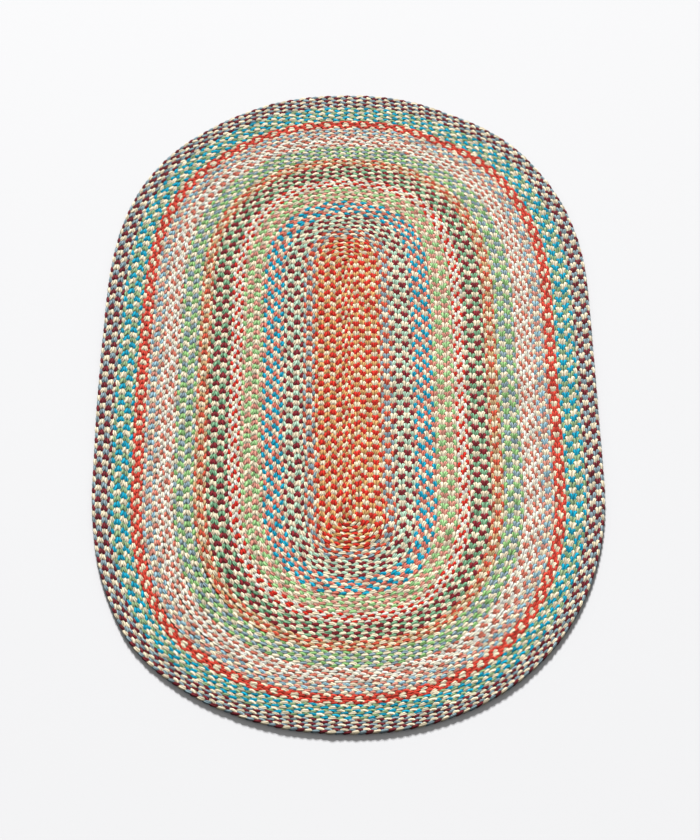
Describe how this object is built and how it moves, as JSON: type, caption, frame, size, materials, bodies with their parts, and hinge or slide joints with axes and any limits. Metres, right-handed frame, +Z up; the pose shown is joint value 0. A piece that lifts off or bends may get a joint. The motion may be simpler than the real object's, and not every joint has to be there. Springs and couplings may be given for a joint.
{
  "type": "braided rug",
  "caption": "Flat oval rug of narrow three-strand yarn plaits, laid round and round in nested colour bands and sewn edge to edge.",
  "frame": {"origin": "on the underside, in the middle of the outline's bounding box", "axes": "+Z up through the thickness, +Y along the rug's length, away from the near end"},
  "size_m": [0.9172, 1.5248, 0.009],
  "materials": {
    "band_01_centre_yarn": "matt, centre patch of red, ochre and cream plait",
    "band_02_yarn": "matt, brick, slate-blue and cream plait",
    "band_03_yarn": "matt, maroon, pale green and cream plait",
    "band_04_yarn": "matt, turquoise, coral and cream plait",
    "band_05_yarn": "matt, light green, salmon and cream plait",
    "band_06_yarn": "matt, red, white and cream plait",
    "band_07_yarn": "matt, maroon, green and cream plait",
    "band_08_yarn": "matt, brick, ochre and cream plait",
    "band_09_yarn": "matt, green, slate-blue and cream plait",
    "band_10_yarn": "matt, brick-salmon, white and cream plait",
    "band_11_yarn": "matt, light slate-blue, salmon and cream plait",
    "band_12_yarn": "matt, red and cream plait",
    "band_13_yarn": "matt, turquoise, green and cream plait",
    "band_14_rim_yarn": "matt, maroon, slate-blue and cream plait"
  },
  "bodies": {
    "root": {"band_01_centre": "band_01_centre_yarn", "band_02": "band_02_yarn", "band_03": "band_03_yarn", "band_04": "band_04_yarn", "band_05": "band_05_yarn", "band_06": "band_06_yarn", "band_07": "band_07_yarn", "band_08": "band_08_yarn", "band_09": "band_09_yarn", "band_10": "band_10_yarn", "band_11": "band_11_yarn", "band_12": "band_12_yarn", "band_13": "band_13_yarn", "band_14_rim": "band_14_rim_yarn"}
  },
  "joints": []
}
